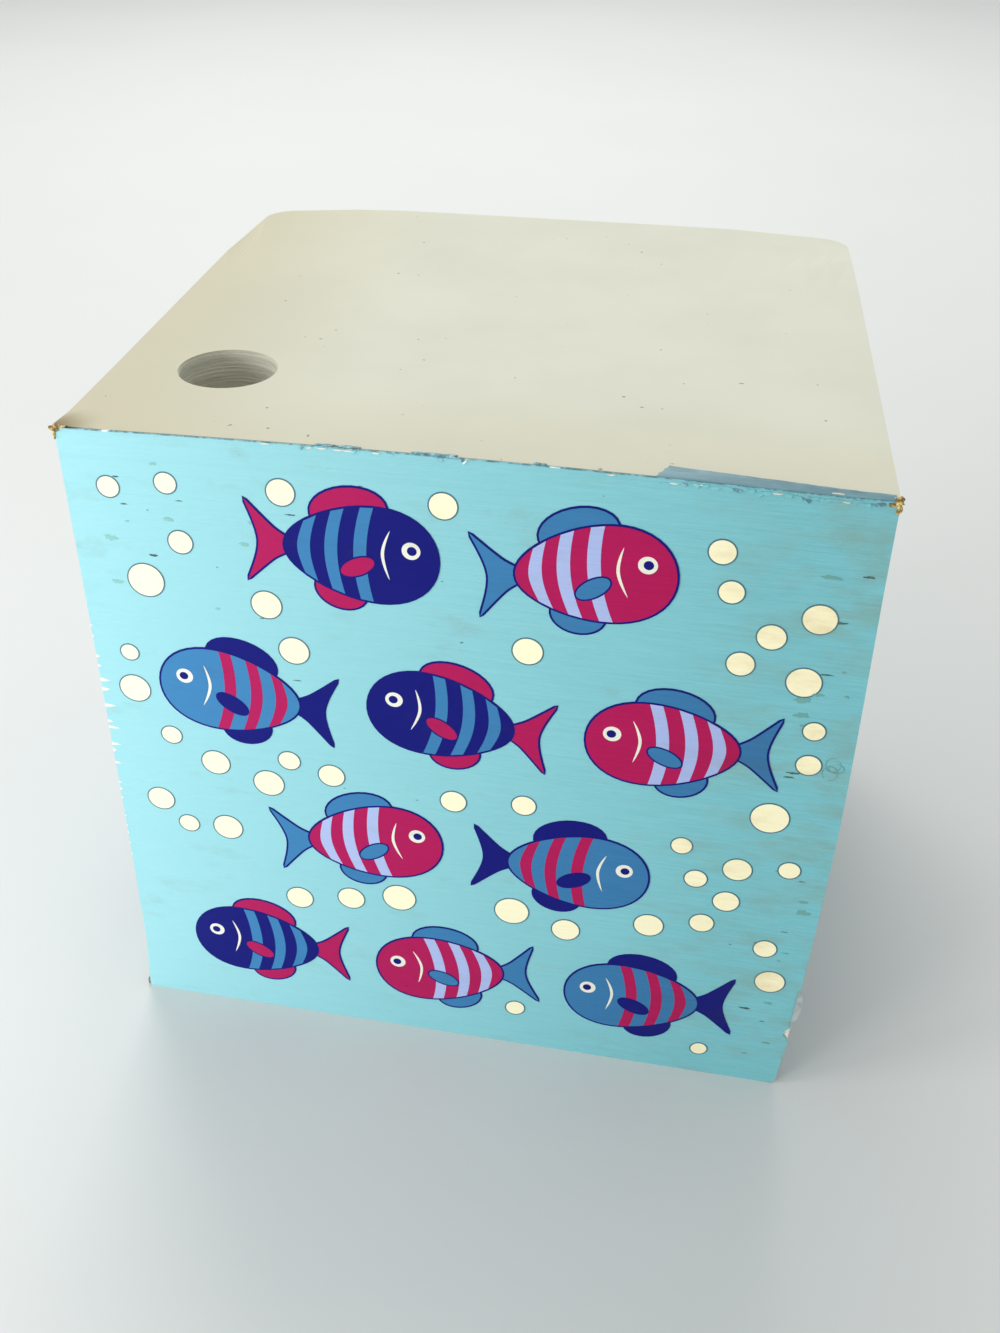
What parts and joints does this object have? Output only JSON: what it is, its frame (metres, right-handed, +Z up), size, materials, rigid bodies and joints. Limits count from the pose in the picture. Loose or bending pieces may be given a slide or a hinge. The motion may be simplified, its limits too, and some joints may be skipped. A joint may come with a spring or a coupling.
{
  "type": "memo cube",
  "caption": "Cube-shaped block of note paper, glued along its printed front face so that it opens like a book, with a round pen hole near one front corner.",
  "frame": {"origin": "on the table, under the centre of the block", "axes": "+Z up; the glued, printed front face looks towards -Y; +X is to the right when facing it"},
  "size_m": [0.09, 0.086, 0.0901],
  "materials": {
    "memo_paper": "uncoated, aged off-white",
    "greyboard": "plain grey board",
    "printed_film": "satin, printed light blue"
  },
  "bodies": {
    "lower_block": {"backing_board": "greyboard", "sheet_pack_01": "memo_paper", "sheet_pack_02": "memo_paper", "sheet_pack_03": "memo_paper", "sheet_pack_04": "memo_paper", "sheet_pack_05": "memo_paper", "sheet_pack_06": "memo_paper", "sheet_pack_07": "memo_paper", "sheet_pack_08": "memo_paper", "sheet_pack_09": "memo_paper", "sheet_pack_10": "memo_paper", "sheet_pack_11": "memo_paper", "sheet_pack_12": "memo_paper", "glue_film_lower": "printed_film"},
    "middle_block": {"sheet_pack_13": "memo_paper", "sheet_pack_14": "memo_paper", "sheet_pack_15": "memo_paper", "sheet_pack_16": "memo_paper", "sheet_pack_17": "memo_paper", "sheet_pack_18": "memo_paper", "sheet_pack_19": "memo_paper", "sheet_pack_20": "memo_paper", "sheet_pack_21": "memo_paper", "sheet_pack_22": "memo_paper", "sheet_pack_23": "memo_paper", "sheet_pack_24": "memo_paper", "glue_film_middle": "printed_film"},
    "upper_block": {"sheet_pack_25": "memo_paper", "sheet_pack_26": "memo_paper", "sheet_pack_27": "memo_paper", "sheet_pack_28": "memo_paper", "sheet_pack_29": "memo_paper", "sheet_pack_30": "memo_paper", "sheet_pack_31": "memo_paper", "sheet_pack_32": "memo_paper", "sheet_pack_33": "memo_paper", "sheet_pack_34": "memo_paper", "sheet_pack_35": "memo_paper", "sheet_pack_36": "memo_paper", "glue_film_upper": "printed_film"},
    "top_leaf": {"top_sheet": "memo_paper", "glue_edge_top": "printed_film", "folded_film_flap": "printed_film"}
  },
  "joints": [
    {"name": "open_lower", "type": "hinge", "parent": "lower_block", "child": "middle_block", "pos_m": [0, -0.043, 0.03063], "axis": [1, 0, 0], "range_deg": [0, 45]},
    {"name": "open_upper", "type": "hinge", "parent": "middle_block", "child": "upper_block", "pos_m": [0, -0.043, 0.06027], "axis": [1, 0, 0], "range_deg": [0, 45]},
    {"name": "lift_top_sheet", "type": "hinge", "parent": "upper_block", "child": "top_leaf", "pos_m": [0, -0.043, 0.0899], "axis": [1, 0, 0], "range_deg": [0, 120]}
  ]
}
